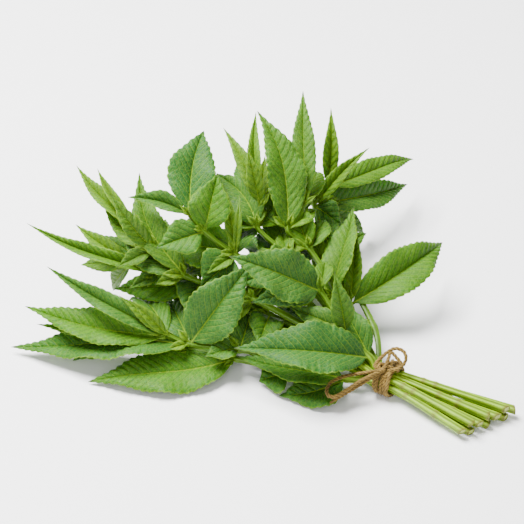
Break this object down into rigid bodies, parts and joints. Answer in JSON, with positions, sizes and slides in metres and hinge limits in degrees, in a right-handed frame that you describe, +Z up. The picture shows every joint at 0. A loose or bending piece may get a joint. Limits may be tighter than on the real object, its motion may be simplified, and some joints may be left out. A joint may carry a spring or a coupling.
{
  "type": "tied bunch of mint",
  "caption": "Bunch of fresh mint sprigs with toothed leaves, lying on its side, its bare stems tied with jute twine in a bow.",
  "frame": {"origin": "on the surface that the bunch lies on, under the middle of its bounding box", "axes": "+Z up; +X towards the right, where the cut ends of the stems point; +Y towards the back, away from the viewer"},
  "size_m": [0.2176, 0.177, 0.0845],
  "materials": {
    "mint": "fresh mint leaf: quilted, softly glossy, with a paler underside and pale green square stems",
    "jute": "twisted jute twine, matt and hairy"
  },
  "bodies": {
    "root": {"twine_tie": "jute", "sprig_front_low": "mint", "sprig_left_low": "mint", "sprig_left_middle": "mint", "sprig_back_left": "mint", "sprig_back_left_high": "mint", "sprig_back_middle": "mint", "sprig_back_high": "mint", "sprig_back_right": "mint", "sprig_right": "mint", "sprig_middle": "mint"}
  },
  "joints": []
}
